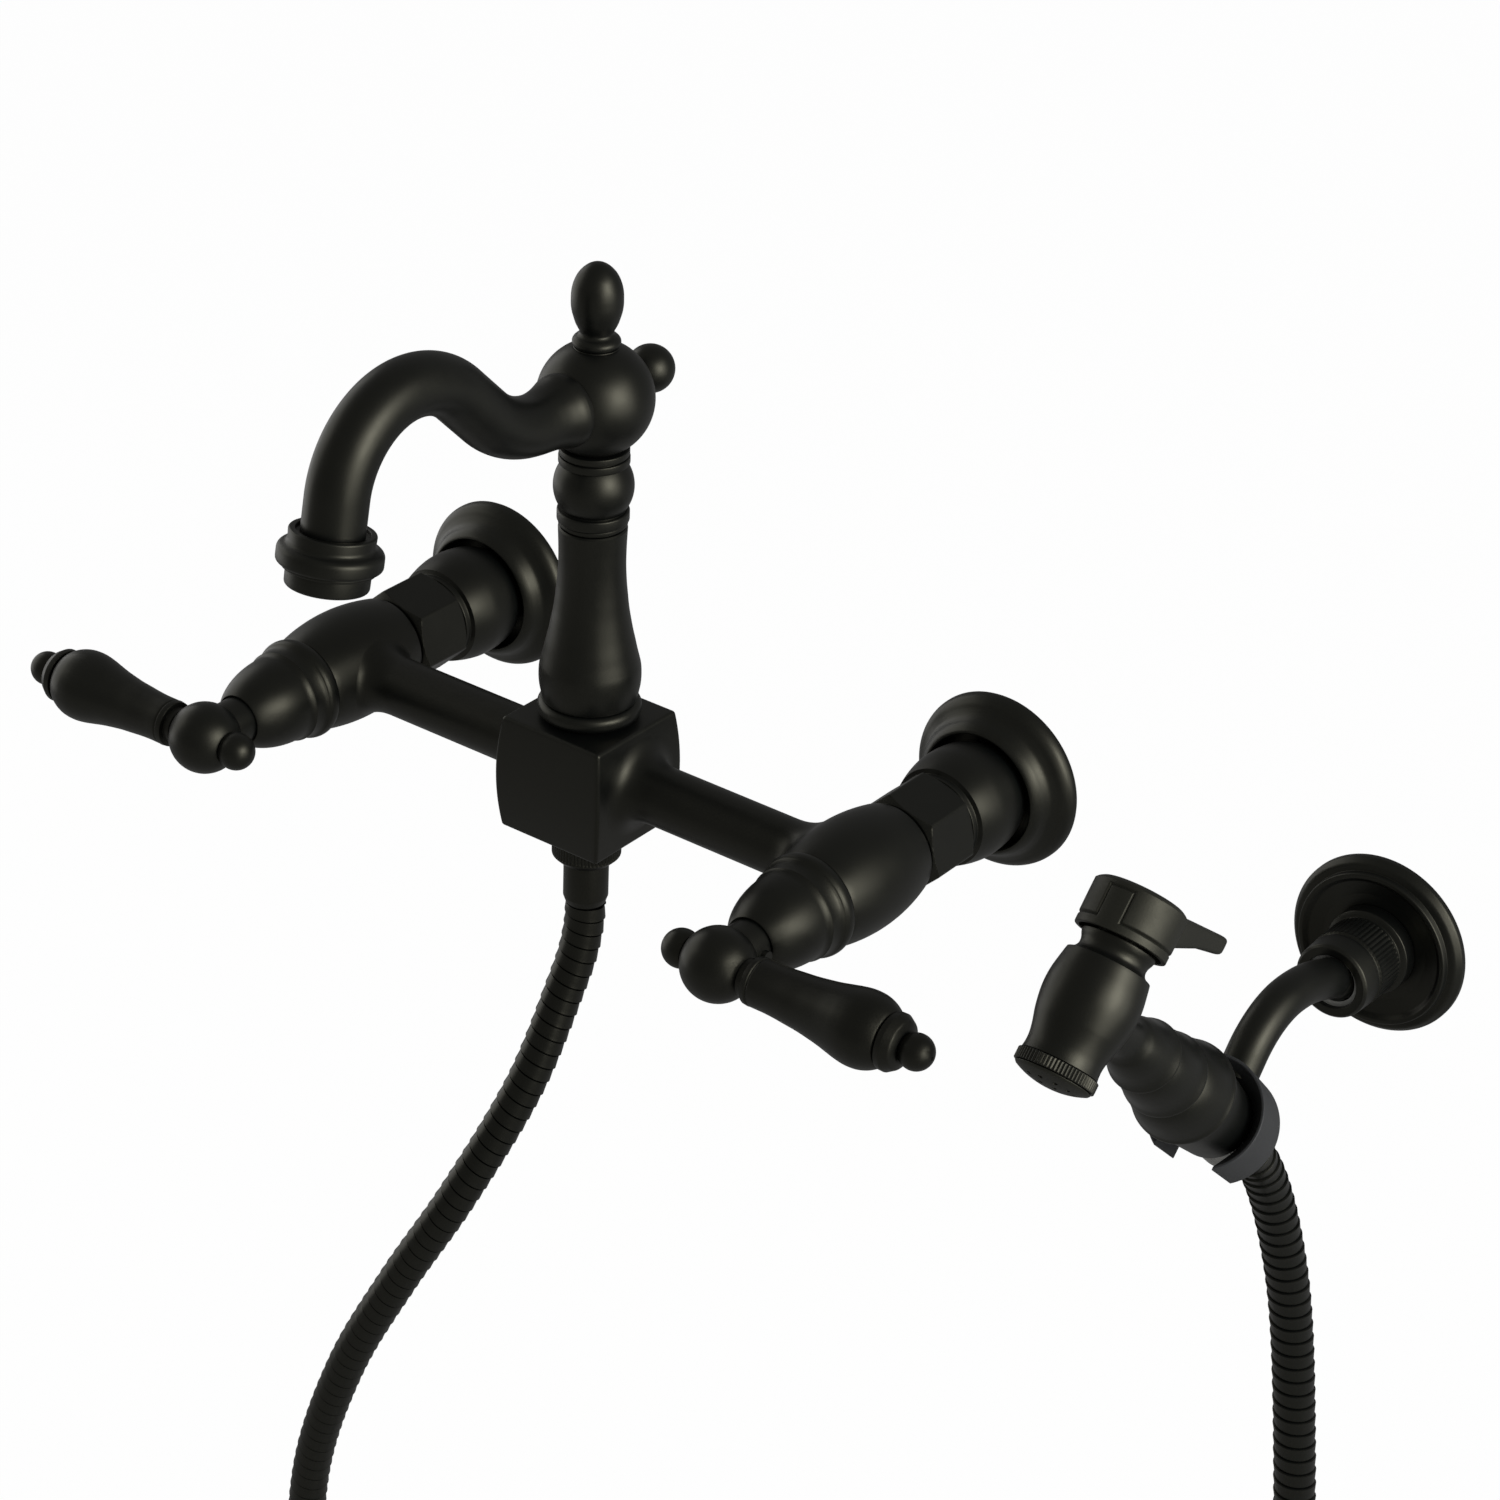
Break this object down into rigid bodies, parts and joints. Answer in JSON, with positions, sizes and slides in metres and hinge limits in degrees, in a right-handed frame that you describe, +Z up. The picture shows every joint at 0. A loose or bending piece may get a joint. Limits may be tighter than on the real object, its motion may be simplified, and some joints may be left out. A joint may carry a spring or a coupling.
{
  "type": "bridge kitchen faucet",
  "caption": "Wall-mounted bridge faucet with a swivelling gooseneck spout, lever valves, and a hand spray on a metal hose parked in its own wall cradle.",
  "frame": {"origin": "on the wall plane, midway between the two valve axes", "axes": "+X along the wall towards the spray holder, +Y into the wall, +Z up; the faucet stands out towards -Y"},
  "size_m": [0.4434, 0.2097, 0.7127],
  "materials": {
    "matte_black": "satin black powder coat over brass",
    "hose_black": "black interlocked metal strip",
    "black_plastic": "fine-grained moulding",
    "bush_plastic": "smooth natural nylon",
    "brass": "machined",
    "steel": "bright stainless",
    "rubber": "moulded"
  },
  "bodies": {
    "root": {"bridge_body": "matte_black", "wall_flange_left": "matte_black", "wall_flange_right": "matte_black", "wall_coupling_left": "matte_black", "wall_coupling_right": "matte_black", "union_nut_left": "matte_black", "union_nut_right": "matte_black", "union_washer_left": "rubber", "union_washer_right": "rubber", "cartridge_left": "brass", "cartridge_right": "brass", "bonnet_left": "matte_black", "bonnet_right": "matte_black", "spout_nut": "matte_black", "diverter": "brass", "hose_nut": "matte_black", "hose_ferrule": "matte_black", "hose_washer": "rubber", "hose": "hose_black", "holder_bracket": "steel", "holder_plate": "matte_black", "holder_collar": "matte_black", "holder_bush": "bush_plastic", "holder_arm": "matte_black", "holder_clip": "black_plastic"},
    "spout": {"spout_column": "matte_black", "spout_seal": "rubber", "spout_knuckle": "matte_black", "spout_hub": "matte_black", "hub_finial": "matte_black", "hub_knob": "matte_black", "spout_tube": "matte_black", "outlet_collar": "matte_black", "aerator_shell": "matte_black", "aerator_screen": "black_plastic"},
    "handle_left": {"valve_stem_left": "brass", "handle_hub_left": "matte_black", "set_screw_left": "steel", "lever_grip_left": "matte_black", "lever_washer_left": "matte_black", "lever_tip_left": "matte_black", "counter_ball_left": "matte_black"},
    "handle_right": {"valve_stem_right": "brass", "handle_hub_right": "matte_black", "set_screw_right": "steel", "lever_grip_right": "matte_black", "lever_washer_right": "matte_black", "lever_tip_right": "matte_black", "counter_ball_right": "matte_black"},
    "sprayer": {"spray_head": "matte_black", "spray_handle": "matte_black", "spray_ring": "matte_black", "spray_face": "black_plastic", "spray_nut": "steel", "spray_ferrule": "matte_black", "cap_pin": "steel", "spray_spring": "steel"},
    "thumb_lever": {"spray_cap": "black_plastic"},
    "spray_valve": {"spray_stem": "brass"}
  },
  "joints": [
    {"name": "spout_swivel", "type": "hinge", "parent": "root", "child": "spout", "pos_m": [0, -0.0789, 0.024], "axis": [0, 0, 1], "range_deg": [-115, 115]},
    {"name": "handle_left_turn", "type": "hinge", "parent": "root", "child": "handle_left", "pos_m": [-0.1016, -0.144, 0], "axis": [0, -1, 0], "range_deg": [0, 90]},
    {"name": "handle_right_turn", "type": "hinge", "parent": "root", "child": "handle_right", "pos_m": [0.1016, -0.144, 0], "axis": [0, 1, 0], "range_deg": [0, 90]},
    {"name": "sprayer_lift", "type": "slide", "parent": "root", "child": "sprayer", "axis": [0, -0.7071, 0.7071], "range_m": [0, 0.045]},
    {"name": "thumb_press", "type": "hinge", "parent": "sprayer", "child": "thumb_lever", "pos_m": [0.2378, -0.15558, 0.07594], "axis": [-1, 0, 0], "range_deg": [0, 8], "stiffness_Nm_per_rad": 1.5},
    {"name": "valve_press", "type": "slide", "parent": "sprayer", "child": "spray_valve", "axis": [0, -0.7071, -0.7071], "range_m": [0, 0.0018]}
  ],
  "couplings": [
    {"joint": "valve_press", "follows": "thumb_press", "m_per_rad": 0.0125}
  ]
}
